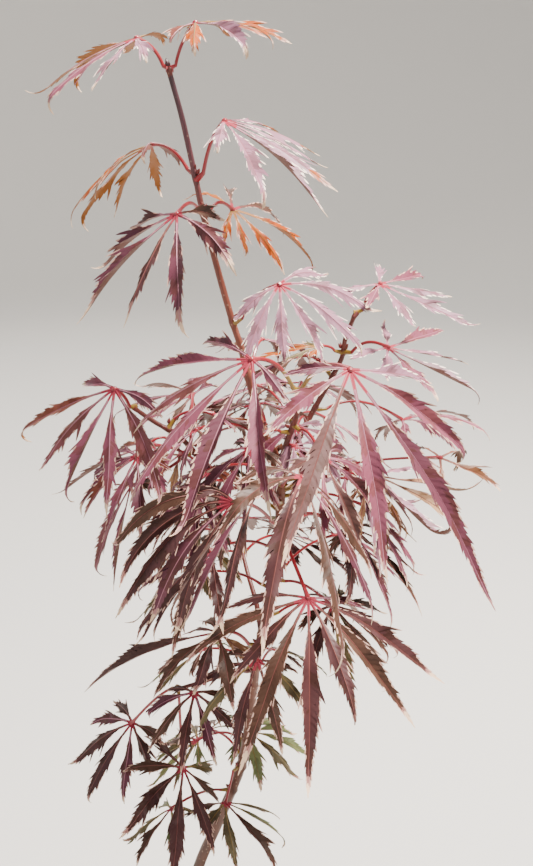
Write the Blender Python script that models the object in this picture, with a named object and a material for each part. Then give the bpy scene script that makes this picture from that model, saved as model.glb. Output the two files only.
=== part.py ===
"""Young cut-leaf maple on one slender leaning stem, in a plain black nursery pot.

The stem and its side shoots are tapering limbs.  Each mass of foliage is one closed solid:
long-stalked leaves of narrow drooping lobes that fan out from a hub, all grown by one rule.
Written in metres with +Z up.  The origin is the centre of the pot's flat underside.
"""
import bisect
import math
import random

import bmesh
import bpy
from mathutils import Matrix, Vector
from mathutils.bvhtree import BVHTree

MM = 0.001
GAP = 0.3 * MM                    # clearance left between neighbouring solids
UP = Vector((0, 0, 1))
DOWN = Vector((0, 0, -1))

# Pot and potting mix
POT_HEIGHT = 170 * MM
POT_BASE_RADIUS = 69 * MM
POT_TOP_RADIUS = 91 * MM
POT_WALL = 2.4 * MM
POT_FLOOR = 3 * MM
RIM_DEPTH = 17 * MM
RIM_STEP = 3 * MM
POT_SIDES = 36
DRAIN_HOLES = 6
DRAIN_SIDES = 12
DRAIN_RADIUS = 5 * MM
DRAIN_RING = 50 * MM
SOIL_LEVEL = 155 * MM

# Stem: places of its axis in mm as (across, back, height), from the soil to the tip
STEM_AXIS = ((-10, 3, 155), (-13, 4, 200), (-10, 2, 243), (-2.5, 0, 282), (10, 0, 317),
             (27, 1, 368), (33, 1, 415), (37, 0, 451), (43, -1, 479), (47, 0, 502),
             (49.5, 0, 543), (49, 0, 570), (40, 1, 591), (33.5, 0, 616), (29, 0, 636),
             (24.5, 0, 651), (16.5, -1, 682), (11, 0, 705), (8, 0, 720.5), (2.5, 0, 748),
             (-2.5, 0, 767.5))
STEM_BASE_RADIUS = 4.4 * MM
STEM_TIP_RADIUS = 1.25 * MM
FLARE = 5.2 * MM                  # extra radius of the root flare where it meets the soil
FLARE_HEIGHT = 9 * MM
GRAFT_SWELL = 2.0 * MM            # knuckle of the old graft
GRAFT_HEIGHT = 34 * MM            # above the soil
GRAFT_REACH = 12 * MM
STEM_SIDES = 8
STEM_STEP = 5.5 * MM              # ring spacing up to the graft
STEM_LOW_RINGS = 11
STEM_SKIP = 3                     # above them only every third ring is kept
BASE_LOBES = 5                    # low ridges of the root flare
BASE_RIDGE = 0.22

# Side shoots: start height on the stem in mm, axis in mm, radii in mm at foot and tip
SHOOTS = {
    "shoot_front": (573, ((53, -12, 590), (57, -26, 609), (58, -35, 622.5)), 1.7, 1.3),
    "shoot_right": (570, ((68, 17, 596), (82, 22, 622), (84, 18, 636), (87, 10, 649)), 1.7, 1.2),
    "shoot_left": (555, ((16, 1, 564), (6.5, -2, 574), (-3.5, -4, 588), (-17, -6, 598),
                         (-25, -8, 605)), 1.8, 1.2),
    "shoot_low": (438, ((24, -6, 441), (10, -10, 438), (-8, -12, 433)), 1.4, 1.1),
    "shoot_back_high": (546, ((52, 14, 558), (55, 30, 570), (57, 42, 577)), 1.8, 1.3),
    "shoot_back_low": (462, ((36, 14, 474), (31, 28, 485), (28, 38, 492)), 1.7, 1.2),
}
SHOOT_SIDES = 6
SHOOT_STEP = 6 * MM

# Leaves
STALK_RADIUS = 0.95 * MM
STALK_STEPS = 4
HUB_RADIUS = 2.8 * MM
HUB_DEPTH = 1.1 * MM
LOBE_PIECES = 12                  # steps of the walk along a lobe's midrib
LOBE_STATIONS = (0, 3, 6, 9)  # steps where the blade has a section
LOBE_WIDTH = 0.125                # widest blade over lobe length
LOBE_ROOT = 0.75 * MM             # half width where a lobe leaves the hub
LOBE_THICK = 0.0125               # midrib depth over lobe length
THICK_LEAST = 0.75 * MM
DROOP_POWER = 1.2
BOW = math.radians(9)             # sideways bow of a lobe, at most
TWIST = math.radians(28)          # turn of the blade about its midrib, at most
FAN = (0.45, 0.79, 0.96, 1.0, 0.96, 0.79, 0.45)   # lobe lengths of a plain leaf


def leaf(bearing, reach, rise, heading, pitch, roll, lobes, spread=212, droop=0.8, arch=9):
    """One leaf: its stalk runs reach mm out and rise mm up to the hub, the blade fans from there.

    lobes is either one length in mm for a plain fan or the lengths one by one, and lobes are
    counted counter-clockwise as seen from above.
    """
    lengths = [lobes * share for share in FAN] if isinstance(lobes, (int, float)) else lobes
    return dict(bearing=math.radians(bearing), reach=reach * MM, rise=rise * MM,
                heading=math.radians(heading), pitch=math.radians(pitch),
                roll=math.radians(roll), lengths=[length * MM for length in lengths],
                spread=math.radians(spread), droop=droop, arch=arch * MM)


# Foliage: mass name -> (limb it grows from, place on it, twig or None, leaves).
# A place is a height in mm on the stem or a share of the way along a shoot; a twig is its
# (bearing, reach, rise) in degrees and mm.
FOLIAGE = {
    "leaves_tip": ("stem", 767.5, (100, 1, 2.5), (
        leaf(183, 15, 13, 174, -15, -10, 61, spread=218, droop=0.64, arch=5),
        leaf(14, 13, 19.5, 347, 5, 5, 47, spread=226, droop=0.73, arch=4),
    )),
    "leaf_second_left": ("stem", 724, None, (
        leaf(125, 40, 10, 167, -27, 8, 65, spread=208, droop=1.05),
    )),
    "leaf_second_right": ("stem", 721, None, (
        leaf(319, 18, 27, 344, -19, 6, (30, 66, 74, 62, 54, 59, 52), spread=150, droop=0.45),
    )),
    "leaf_third_left": ("stem", 706, None, (
        leaf(256, 36, 4, 239, -33, 12, (45, 53, 68, 60, 73, 54, 26), spread=203, droop=0.78),
    )),
    "leaf_third_right": ("stem", 704, None, (
        leaf(59, 24, -1, 25, -14, 33, (25, 28, 43, 67, 59, 49, 38), spread=238, droop=1.2),
    )),
    "leaf_fourth_right": ("stem", 650, None, (
        leaf(324, 27, 23, 320, -38, 22, (31, 48, 42, 46, 56, 58, 34), spread=196, droop=0.95),
    )),
    "leaves_right": ("shoot_right", 1, (20, 2, 3), (
        leaf(3, 12, 15, 330, -15, 5, (30, 30, 43, 57, 40, 43, 29), spread=233, droop=0.15, arch=4),
    )),
    "leaf_right_low": ("shoot_right", 0.76, None, (
        leaf(318, 27, 8, 339, -20, 4, (34, 37, 45, 58, 50, 66, 30), spread=222, droop=0.05),
    )),
    "leaf_right_back": ("shoot_right", 0.4, None, (
        leaf(22, 54, -14, 26, 12, -20, 58, spread=230, droop=1.1, arch=16),
    )),
    "leaves_front": ("shoot_front", 1, (250, 2, 3), (
        leaf(229, 34, 24, 206, -33, -15, (45, 77, 69, 87, 92, 80, 31), spread=181, droop=0.57,
             arch=12),
        leaf(288, 62, 30, 282, -43, -15, (29, 50, 90, 89, 116, 74, 46), spread=196, droop=0.58,
             arch=14),
    )),
    "leaves_left": ("shoot_left", 1, (200, 2, 2), (
        leaf(239, 14, 14, 227, -45, -1, (32, 82, 60, 66, 67, 76, 34), spread=193, droop=0.65,
             arch=3),
    )),
    "leaf_left_low": ("shoot_left", 0.6, None, (
        leaf(178, 33, -20, 253, -48, 45, (32, 70, 58, 48, 32), spread=200, droop=0.97, arch=-4),
    )),
    "leaf_left_mid": ("shoot_left", 0.42, None, (
        leaf(159, 34, 11, 209, -17, 5, (32, 52, 72, 58, 56, 50, 12), spread=216, droop=0.72),
    )),
    "leaf_left_back": ("shoot_left", 0.62, None, (
        leaf(92, 35, 17, 169, 0, -14, (29, 46, 57, 58, 40, 30, 24), spread=218, droop=0.8),
    )),
    "leaf_centre_front": ("stem", 560, None, (
        leaf(277, 70, 36, 283, -13, -34, (35, 64, 98, 101, 76, 62, 47), spread=193, droop=1.33,
             arch=6),
    )),
    "leaf_centre_dark": ("stem", 549, None, (
        leaf(261, 65, 40, 213, -36, 28, (18, 40, 90, 76, 84, 0), spread=167, droop=0.99,
             arch=6),
    )),
    "leaf_centre_left": ("stem", 536, None, (
        leaf(241, 46, 33, 202, -8, -86, (40, 77, 77, 87, 80, 81, 38), spread=115, droop=2.0,
             arch=8),
    )),
    "leaf_centre_back": ("stem", 592, None, (
        leaf(134, 70, -38, 200, -30, -10, (28, 35, 30, 30, 26), spread=215, droop=0.8, arch=12),
    )),
    "leaf_lower_right": ("stem", 530, None, (
        leaf(288, 45, -15, 268, -25, -2, (50, 75, 60, 95, 100, 70, 84, 84, 36), spread=198,
             droop=0.89, arch=3),
    )),
    "leaf_withered": ("stem", 556, None, (
        leaf(345, 50, 14, 341, -20, 2, (30, 42, 63, 62, 68, 44, 30), spread=209, droop=0.2),
    )),
    "leaf_low_left": ("stem", 455, None, (
        leaf(204, 23, 15, 214, -10, -1, (31, 30, 93, 52, 40, 50, 31), spread=211, droop=1.0),
    )),
    "leaves_low": ("shoot_low", 1, (150, 2, -1), (
        leaf(156, 34, -36, 222, -35, -5, (28, 38, 52, 58, 48, 36, 26), spread=212, droop=0.75,
             arch=8),
        leaf(288, 6, -54, 266, -19, -40, (31, 39, 59, 71, 54, 36, 28), spread=235, droop=0.6,
             arch=5),
    )),
    "leaf_bottom_right": ("stem", 364, None, (
        leaf(225, 10, -21, 312, -3, -22, (30, 32, 52, 56, 50, 46, 0), spread=209, droop=0.65,
             arch=3),
    )),
    "leaf_bottom_back": ("stem", 399, None, (
        leaf(94, 37, -42, 351, -2, -8, (29, 47, 52, 53, 42, 55, 29), spread=204, droop=0.9),
    )),
    "leaf_bottom_left": ("stem", 346, None, (
        leaf(208, 38, 2, 233, -10, 30, (28, 42, 40, 46, 16), spread=215, droop=0.9),
    )),
    "leaves_back_high": ("shoot_back_high", 1, (85, 3, 2), (
        leaf(38, 26, -5, 42, -28, 5, 60, droop=0.9),
        leaf(80, 33, 12, 80, -18, 0, 68, droop=0.9),
        leaf(128, 34, 12, 128, -20, -5, 66, droop=0.9),
        leaf(160, 26, 6, 136, -10, -5, 56, droop=0.8),
    )),
    "leaves_back_low": ("shoot_back_low", 1, (110, 3, 1), (
        leaf(30, 32, 4, 35, -22, 5, 64, droop=0.95),
        leaf(85, 32, 8, 88, -20, 0, 66, droop=0.95),
        leaf(140, 32, 6, 145, -25, -5, 64, droop=0.95),
        leaf(190, 26, -6, 180, -30, -5, 58, droop=0.95),
    )),
    "leaf_back_right": ("stem", 505, None, (
        leaf(38, 42, 8, 35, -22, 5, 62, droop=0.9),
    )),
    "leaf_lower_back": ("stem", 425, None, (
        leaf(75, 38, -2, 80, -25, 5, 58, droop=0.95),
    )),
    "leaf_bottom_rear": ("stem", 371, None, (
        leaf(128, 34, -4, 125, -22, -5, 54, droop=0.95),
    )),
}

MATERIALS = {
    "pot": ((0.016, 0.016, 0.018, 1), 0.55),
    "potting_mix": ((0.055, 0.030, 0.018, 1), 0.95),
    "bark": ((0.20, 0.085, 0.075, 1), 0.6),
    "leaf_upper": ((0.42, 0.26, 0.30, 1), 0.5),
    "leaf_middle": ((0.25, 0.12, 0.15, 1), 0.5),
    "leaf_lower": ((0.14, 0.075, 0.075, 1), 0.5),
}


def clear_scene():
    for item in list(bpy.data.objects):
        bpy.data.objects.remove(item, do_unlink=True)


def make_material(name):
    colour, roughness = MATERIALS[name]
    material = bpy.data.materials.new(name)
    material.use_nodes = True
    shader = material.node_tree.nodes["Principled BSDF"]
    shader.inputs["Base Color"].default_value = colour
    shader.inputs["Roughness"].default_value = roughness
    shader.inputs["Metallic"].default_value = 0.0
    material.diffuse_color = colour
    return material


def add_object(name, bm, material):
    """Turn a bmesh into a scene object with outward faces."""
    bmesh.ops.recalc_face_normals(bm, faces=bm.faces)
    mesh = bpy.data.meshes.new(name)
    bm.to_mesh(mesh)
    bm.free()
    mesh.shade_smooth()
    mesh.set_sharp_from_angle(angle=math.radians(40))
    if material is not None:
        mesh.materials.append(material)
    item = bpy.data.objects.new(name, mesh)
    bpy.context.scene.collection.objects.link(item)
    return item


# ---------------------------------------------------------------- limbs

def smooth_path(points, step):
    """Evenly spaced places on the Catmull-Rom curve through points."""
    ends = [points[0] * 2 - points[1]] + list(points) + [points[-1] * 2 - points[-2]]
    fine = [points[0]]
    for before, start, end, after in zip(ends, ends[1:], ends[2:], ends[3:]):
        pieces = max(2, round((end - start).length / (1 * MM)))
        for piece in range(1, pieces + 1):
            t = piece / pieces
            fine.append(0.5 * (2 * start + (end - before) * t
                               + (2 * before - 5 * start + 4 * end - after) * t ** 2
                               + (3 * start - before - 3 * end + after) * t ** 3))
    travelled = [0]
    for start, end in zip(fine, fine[1:]):
        travelled.append(travelled[-1] + (end - start).length)
    count = max(2, round(travelled[-1] / step))
    path = []
    for index in range(count + 1):
        goal = travelled[-1] * index / count
        spot = min(max(bisect.bisect_left(travelled, goal), 1), len(fine) - 1)
        share = (goal - travelled[spot - 1]) / (travelled[spot] - travelled[spot - 1])
        path.append(fine[spot - 1].lerp(fine[spot], min(max(share, 0), 1)))
    return path


def directions(path):
    heads = [(path[1] - path[0]).normalized()]
    for before, after in zip(path, path[2:]):
        heads.append((after - before).normalized())
    heads.append((path[-1] - path[-2]).normalized())
    return heads


def carry_side(side, head):
    """The sideways vector carried along to a new direction of travel."""
    return (side - head * side.dot(head)).normalized()


def sweep(bm, path, radii, sides, start_side=None, ridge=None):
    """Closed tube of round rings along a path; ridge(angle, index) scales a ring's radius."""
    heads = directions(path)
    side = start_side or heads[0].orthogonal()
    rings = []
    for index, (place, head, radius) in enumerate(zip(path, heads, radii)):
        side = carry_side(side, head)
        other = head.cross(side)
        ring = []
        for corner in range(sides):
            angle = 2 * math.pi * corner / sides
            reach = radius * (ridge(angle, index) if ridge else 1)
            ring.append(bm.verts.new(place + (side * math.cos(angle) + other * math.sin(angle)) * reach))
        rings.append(ring)
    for lower, upper in zip(rings, rings[1:]):
        for corner in range(sides):
            after = (corner + 1) % sides
            bm.faces.new((lower[corner], lower[after], upper[after], upper[corner]))
    bm.faces.new(list(reversed(rings[0])))
    bm.faces.new(rings[-1])


class Limb:
    """A tapering limb: its axis, its radius at each place, and where things grow from it."""

    def __init__(self, path, radii):
        self.path = path
        self.radii = radii
        self.heads = directions(path)

    def spot_at_height(self, height):
        """Ring number, with a fraction, where the axis passes a height."""
        for index, (below, above) in enumerate(zip(self.path, self.path[1:])):
            if below.z <= height <= above.z:
                return index + (height - below.z) / (above.z - below.z)
        return len(self.path) - 1

    def spot_at_share(self, share):
        return share * (len(self.path) - 1)

    def foot(self, spot, bearing):
        """Where a side limb or stalk starts on the bark, and the way it leaves."""
        index = min(int(spot), len(self.path) - 2)
        axis = self.path[index].lerp(self.path[index + 1], spot - index)
        head = (self.path[index + 1] - self.path[index]).normalized()
        outward = carry_side(Vector((math.cos(bearing), math.sin(bearing), 0)), head)
        return axis + outward * (max(self.radii[index:index + 2]) + GAP * 1.4), outward


def stem_radius(height):
    """Radius of the stem at a height: taper, root flare and the knuckle of the graft."""
    above = height - SOIL_LEVEL
    share = above / (STEM_AXIS[-1][2] * MM - SOIL_LEVEL)
    radius = STEM_BASE_RADIUS + (STEM_TIP_RADIUS - STEM_BASE_RADIUS) * share ** 0.8
    radius += FLARE * math.exp(-above / FLARE_HEIGHT)
    radius += GRAFT_SWELL * math.exp(-((above - GRAFT_HEIGHT) / GRAFT_REACH) ** 2)
    return radius


def make_stem(material):
    points = [Vector(place) * MM for place in STEM_AXIS]
    dense = smooth_path(points, STEM_STEP)
    path = dense[:STEM_LOW_RINGS] + dense[STEM_LOW_RINGS:-2:STEM_SKIP] + dense[-1:]
    path[0] = Vector((path[0].x, path[0].y, SOIL_LEVEL + GAP))
    radii = [stem_radius(place.z) for place in path]

    def root_ridge(angle, index):
        fade = math.exp(-(path[index].z - SOIL_LEVEL) / FLARE_HEIGHT)
        return 1 + BASE_RIDGE * fade * math.cos(BASE_LOBES * angle)

    bm = bmesh.new()
    sweep(bm, path, radii, STEM_SIDES, ridge=root_ridge)
    for vert in bm.verts:
        if vert.co.z < path[0].z + 2 * MM:
            vert.co.z = path[0].z            # the flat cut at soil level
    add_object("stem", bm, material)
    return Limb(path, radii)


def make_shoot(name, stem, material):
    start_height, places, foot_radius, tip_radius = SHOOTS[name]
    points = [Vector(place) * MM for place in places]
    spot = stem.spot_at_height(start_height * MM)
    away = points[0] - stem.path[int(spot)]
    foot, outward = stem.foot(spot, math.atan2(away.y, away.x))
    path = [foot] + smooth_path([foot + outward * 3 * MM] + points, SHOOT_STEP)
    count = len(path) - 1
    radii = [(foot_radius + (tip_radius - foot_radius) * i / count) * MM for i in range(count + 1)]
    bm = bmesh.new()
    sweep(bm, path, radii, SHOOT_SIDES)
    add_object(name, bm, material)
    return Limb(path, radii)


# ---------------------------------------------------------------- leaves

def stalk_path(foot, outward, hub, arch):
    """Arching stalk from its foot to the hub of the leaf."""
    first = foot + outward * 3 * MM
    bend = foot.lerp(hub, 0.42) + UP * arch
    path = [foot]
    for step in range(STALK_STEPS + 1):
        t = step / STALK_STEPS
        path.append(first * (1 - t) ** 2 + bend * 2 * t * (1 - t) + hub * t ** 2)
    return path


def blade_axes(shape):
    """Midrib direction of the leaf and the direction to its left side."""
    turn = Matrix.Rotation(shape["heading"], 3, "Z") @ Matrix.Rotation(-shape["pitch"], 3, "Y")
    turn = turn @ Matrix.Rotation(shape["roll"], 3, "X")
    return turn @ Vector((1, 0, 0)), turn @ Vector((0, 1, 0))


def lobe_line(hub, ahead, left, angle, length, droop, bow):
    """Places along a lobe's midrib, its headings, and the sideways vector of its blade."""
    place = hub.copy()
    flat = ahead.cross(left)
    side = left * math.cos(angle) - ahead * math.sin(angle)
    places, sides, heads = [], [], []
    for piece in range(LOBE_PIECES + 1):
        t = min((piece + 0.5) / LOBE_PIECES, 1)
        bent = angle + bow * (t - 0.5)
        head = ahead * math.cos(bent) + left * math.sin(bent) + DOWN * (droop * t ** DROOP_POWER)
        head.normalize()
        side = carry_side(side, head)
        places.append(place.copy())
        sides.append(side.copy())
        heads.append(head)
        place += head * (length / LOBE_PIECES)
    return places, heads, sides, flat


def lobe_half_width(share, length):
    """Half the blade's width: narrow root, widest past the middle, long drawn-out tip."""
    body = 3.78 * share ** 1.05 * (1 - share) ** 0.85 * 0.5
    return max(LOBE_ROOT * (1 - share), LOBE_WIDTH * length * body)


def lobe_mesh(line, length, twist, swell=0.0):
    """Closed three-sided blade along a lobe's line: flat above, keeled by its midrib below."""
    places, heads, sides, _ = line
    thick = max(THICK_LEAST, LOBE_THICK * length)
    bm = bmesh.new()
    rings = []
    for station in LOBE_STATIONS:
        share = station / LOBE_PIECES
        turn = Matrix.Rotation(twist * share, 3, heads[station])
        side = turn @ sides[station]
        above = heads[station].cross(side)
        half = lobe_half_width(share, length) + swell
        top = above * (0.3 * thick + swell)
        keel = above * (-0.7 * thick * (1 - 0.35 * share) - swell)
        middle = places[station]
        rings.append([bm.verts.new(middle + side * half + top), bm.verts.new(middle - side * half + top),
                      bm.verts.new(middle + keel)])
    for lower, upper in zip(rings, rings[1:]):
        for corner in range(3):
            after = (corner + 1) % 3
            bm.faces.new((lower[corner], lower[after], upper[after], upper[corner]))
    tip = bm.verts.new(places[-1] + heads[-1] * swell)
    for corner in range(3):
        bm.faces.new((rings[-1][corner], rings[-1][(corner + 1) % 3], tip))
    bm.faces.new(list(reversed(rings[0])))
    bmesh.ops.triangulate(bm, faces=bm.faces)
    bmesh.ops.recalc_face_normals(bm, faces=bm.faces)
    return bm


def leaf_pieces(name, foot, outward, shape, walls):
    """Stalk, hub and lobes of one leaf as closed bmeshes; lobes that touch a wall are skipped."""
    chance = random.Random(name)
    flat_out = Vector((math.cos(shape["bearing"]), math.sin(shape["bearing"]), 0))
    hub = foot + flat_out * shape["reach"] + UP * shape["rise"]
    stalk = bmesh.new()
    path = stalk_path(foot, outward, hub, shape["arch"])
    sweep(stalk, path, [STALK_RADIUS] * len(path), 3)
    ahead, left = blade_axes(shape)
    flat = ahead.cross(left)
    knob = bmesh.new()
    sweep(knob, [hub - flat * HUB_DEPTH, hub, hub + flat * HUB_DEPTH],
          [HUB_RADIUS * 0.4, HUB_RADIUS, HUB_RADIUS * 0.4], 6)
    pieces = [stalk, knob]
    count = len(shape["lengths"])
    for number, length in enumerate(shape["lengths"]):
        angle = (number / (count - 1) - 0.5) * shape["spread"]
        droop = shape["droop"] * chance.uniform(0.92, 1.08)
        bow = chance.uniform(-BOW, BOW)
        twist = chance.uniform(-TWIST, TWIST)
        if length == 0:
            continue                 # a lobe that was lost
        line = lobe_line(hub, ahead, left, angle, length, droop, bow)
        guard = lobe_mesh(line, length, twist, swell=GAP)
        tree = BVHTree.FromBMesh(guard)
        guard.free()
        if any(tree.overlap(wall) for wall in walls):
            continue
        pieces.append(lobe_mesh(line, length, twist))
    return pieces


# ---------------------------------------------------------------- joining a mass

def keep_outer_body(mesh):
    """Keep the largest closed shell: loose scraps and sealed hollows are dropped."""
    bm = bmesh.new()
    bm.from_mesh(mesh)
    bmesh.ops.triangulate(bm, faces=bm.faces)
    waiting = set(bm.faces)
    shells = []
    while waiting:
        shell = []
        front = [waiting.pop()]
        while front:
            face = front.pop()
            shell.append(face)
            for edge in face.edges:
                for neighbour in edge.link_faces:
                    if neighbour in waiting:
                        waiting.remove(neighbour)
                        front.append(neighbour)
        shells.append(shell)
    shells.sort(key=len)
    for shell in shells[:-1]:
        bmesh.ops.delete(bm, geom=shell, context="FACES")
    bm.to_mesh(mesh)
    bm.free()


def join_mass(name, pieces, material):
    """Fuse closed pieces into one body with a single Boolean union on a collection."""
    group = bpy.data.collections.new(name + "_pieces")
    bpy.context.scene.collection.children.link(group)
    base = add_object(name, pieces[0], material)
    for number, piece in enumerate(pieces[1:]):
        part = add_object(f"{name}_piece_{number}", piece, None)
        bpy.context.scene.collection.objects.unlink(part)
        group.objects.link(part)
    union = base.modifiers.new("join", "BOOLEAN")
    union.operation = "UNION"
    union.operand_type = "COLLECTION"
    union.collection = group
    union.solver = "MANIFOLD"
    bpy.context.view_layer.update()
    ready = base.evaluated_get(bpy.context.evaluated_depsgraph_get())
    joined = bpy.data.meshes.new_from_object(ready)
    base.modifiers.clear()
    base.data = joined
    for part in list(group.objects):
        bpy.data.objects.remove(part, do_unlink=True)
    bpy.data.collections.remove(group)
    keep_outer_body(joined)
    joined.materials.clear()
    joined.materials.append(material)
    joined.set_sharp_from_angle(angle=math.radians(40))
    return base


def wall_of(item):
    bm = bmesh.new()
    bm.from_mesh(item.data)
    tree = BVHTree.FromBMesh(bm)
    bm.free()
    return tree


def make_mass(name, limbs, walls, material):
    """One mass of foliage: a twig or a bare stalk 0.3 mm clear of its limb, and its leaves."""
    limb_name, place, twig, leaves = FOLIAGE[name]
    limb = limbs[limb_name]
    spot = limb.spot_at_height(place * MM) if limb_name == "stem" else limb.spot_at_share(place)
    pieces = []
    if twig:
        bearing, reach, rise = math.radians(twig[0]), twig[1] * MM, twig[2] * MM
        head = limb.heads[-1]
        start = limb.path[-1] + head * GAP
        fork = start + Vector((math.cos(bearing), math.sin(bearing), 0)) * reach + UP * rise
        stub = bmesh.new()
        path = [start, start + head * 1.5 * MM, fork]
        sweep(stub, path, [limb.radii[-1]] * 3, SHOOT_SIDES)
        pieces.append(stub)
    for number, shape in enumerate(leaves):
        if twig:
            toward = Vector((math.cos(shape["bearing"]), math.sin(shape["bearing"]), 0))
            foot, outward = fork - toward * 0.5 * MM, toward
        else:
            foot, outward = limb.foot(spot, shape["bearing"])
        pieces += leaf_pieces(f"{name}_{number}", foot, outward, shape, walls)
    return join_mass(name, pieces, material)


# ---------------------------------------------------------------- pot

def turned(profile, sides):
    """Solid of revolution about the Z axis from a closed profile of (radius, height)."""
    bm = bmesh.new()
    verts = [bm.verts.new((radius, 0, height)) for radius, height in profile]
    edges = [bm.edges.new((a, b)) for a, b in zip(verts, verts[1:])]
    bmesh.ops.spin(bm, geom=verts + edges, cent=(0, 0, 0), axis=(0, 0, 1),
                   angle=2 * math.pi, steps=sides, use_merge=True)
    bmesh.ops.remove_doubles(bm, verts=bm.verts, dist=0.01 * MM)
    return bm


def pot_radius(height):
    return POT_BASE_RADIUS + (POT_TOP_RADIUS - POT_BASE_RADIUS) * height / POT_HEIGHT


def make_pot(material):
    rim_foot = POT_HEIGHT - RIM_DEPTH
    rim_radius = POT_TOP_RADIUS + RIM_STEP
    profile = [(0, 0), (POT_BASE_RADIUS - 1 * MM, 0), (POT_BASE_RADIUS, 1 * MM),
               (pot_radius(rim_foot), rim_foot), (rim_radius - 1 * MM, rim_foot + 1 * MM),
               (rim_radius, POT_HEIGHT - 1 * MM), (rim_radius - 1 * MM, POT_HEIGHT),
               (pot_radius(POT_HEIGHT) - POT_WALL, POT_HEIGHT),
               (pot_radius(POT_FLOOR) - POT_WALL, POT_FLOOR), (0, POT_FLOOR)]
    pot = add_object("pot", turned(profile, POT_SIDES), material)
    drill = bmesh.new()
    for hole in range(DRAIN_HOLES):
        angle = 2 * math.pi * hole / DRAIN_HOLES
        spot = Vector((math.cos(angle), math.sin(angle), 0)) * DRAIN_RING
        bmesh.ops.create_cone(drill, cap_ends=True, segments=DRAIN_SIDES, radius1=DRAIN_RADIUS,
                              radius2=DRAIN_RADIUS, depth=4 * POT_FLOOR,
                              matrix=Matrix.Translation(spot))
    cutter = add_object("drain_cutter", drill, None)
    cutter.hide_render = True
    cutter.display_type = "WIRE"
    cut = pot.modifiers.new("drain_holes", "BOOLEAN")
    cut.operation = "DIFFERENCE"
    cut.solver = "EXACT"
    cut.object = cutter
    return pot


def make_mix(material):
    foot = POT_FLOOR + GAP
    inset = POT_WALL + GAP * 1.5
    profile = [(0, foot), (pot_radius(foot) - inset, foot),
               (pot_radius(SOIL_LEVEL) - inset, SOIL_LEVEL), (0, SOIL_LEVEL)]
    return add_object("potting_mix", turned(profile, POT_SIDES), material)


def mass_material(name, paints):
    """Pale new growth at the top of the stem, plum in the middle, bronze low down."""
    limb, place = FOLIAGE[name][0], FOLIAGE[name][1]
    height = place if limb == "stem" else SHOOTS[limb][1][-1][2]
    if height > 640:
        return paints["leaf_upper"]
    return paints["leaf_middle"] if height > 500 else paints["leaf_lower"]


def main():
    clear_scene()
    paints = {name: make_material(name) for name in MATERIALS}
    make_pot(paints["pot"])
    make_mix(paints["potting_mix"])
    limbs = {"stem": make_stem(paints["bark"])}
    for name in SHOOTS:
        limbs[name] = make_shoot(name, limbs["stem"], paints["bark"])
    walls = [wall_of(bpy.data.objects[name]) for name in ["pot"] + list(limbs)]
    for name in FOLIAGE:
        mass = make_mass(name, limbs, walls, mass_material(name, paints))
        walls.append(wall_of(mass))


main()
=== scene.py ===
# Young cut-leaf maple in a plain nursery pot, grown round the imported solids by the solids' own rule.
import bisect
import random
from math import atan2, cos, exp, pi, radians, sin, sqrt, tan

import bmesh
import bpy
from mathutils import Matrix, Vector, noise


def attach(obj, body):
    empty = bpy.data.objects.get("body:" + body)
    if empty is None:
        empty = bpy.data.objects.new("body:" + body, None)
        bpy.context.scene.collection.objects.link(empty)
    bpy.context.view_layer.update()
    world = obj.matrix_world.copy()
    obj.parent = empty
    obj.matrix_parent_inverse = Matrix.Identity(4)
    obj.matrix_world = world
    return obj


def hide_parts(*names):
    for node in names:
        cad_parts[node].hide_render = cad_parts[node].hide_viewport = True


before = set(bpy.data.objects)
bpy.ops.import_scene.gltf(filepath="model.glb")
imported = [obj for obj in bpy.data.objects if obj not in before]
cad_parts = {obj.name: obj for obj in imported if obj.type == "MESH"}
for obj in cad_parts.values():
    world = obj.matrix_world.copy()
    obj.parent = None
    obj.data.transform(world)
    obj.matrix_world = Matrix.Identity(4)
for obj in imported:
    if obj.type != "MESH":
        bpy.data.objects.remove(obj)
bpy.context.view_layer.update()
print("frame loaded,", len(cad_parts), "nodes")

mm = 0.001
up = Vector((0, 0, 1))
down = Vector((0, 0, -1))
clearance = 0.3 * mm       # gap that the solids keep to each other
footGap = clearance * 1.4  # from a limb's rings to a foot on it


# camera, stage and light
cameraSetup = dict(place=(0.042, -0.46, 0.775), pitchDown=22, fieldOfView=50, sensor=36, nearest=0.02)


def makeCamera():
    data = bpy.data.cameras.new("camera")
    data.sensor_width = cameraSetup["sensor"]
    data.lens = cameraSetup["sensor"] / 2 / tan(radians(cameraSetup["fieldOfView"] / 2))
    data.clip_start = cameraSetup["nearest"]
    camera = bpy.data.objects.new("camera", data)
    camera.location = cameraSetup["place"]
    camera.rotation_euler = (radians(90 - cameraSetup["pitchDown"]), 0, 0)
    bpy.context.scene.collection.objects.link(camera)
    bpy.context.scene.camera = camera


def linear(colour):  # a colour given in 0 to 255 becomes the shader's linear one
    shares = [value / 255 for value in colour]
    return [c / 12.92 if c <= 0.04045 else ((c + 0.055) / 1.055) ** 2.4 for c in shares] + [1]


def feed(node, sockets):  # each input gets a value or another node's output
    for name, value in sockets.items():
        socket = node.inputs[name.replace("_", " ") if isinstance(name, str) else name]
        if isinstance(value, bpy.types.NodeSocket):
            node.id_data.links.new(value, socket)
        else:
            socket.default_value = value


mainOutputs = dict(TexCoord="Object", Mapping="Vector", SeparateXYZ="Z", TexNoise="Fac", Math="Value",
                   TexVoronoi="Distance", MapRange="Result", ValToRGB="Color", Mix="Result",
                   Bump="Normal")


def addNode(material, kind, settings=(), **sockets):  # gives its output back
    node = material.node_tree.nodes.new("ShaderNode" + kind)
    for name, value in dict(settings).items():
        setattr(node, name, value)
    feed(node, sockets)
    return node.outputs[mainOutputs[kind]]


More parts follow.
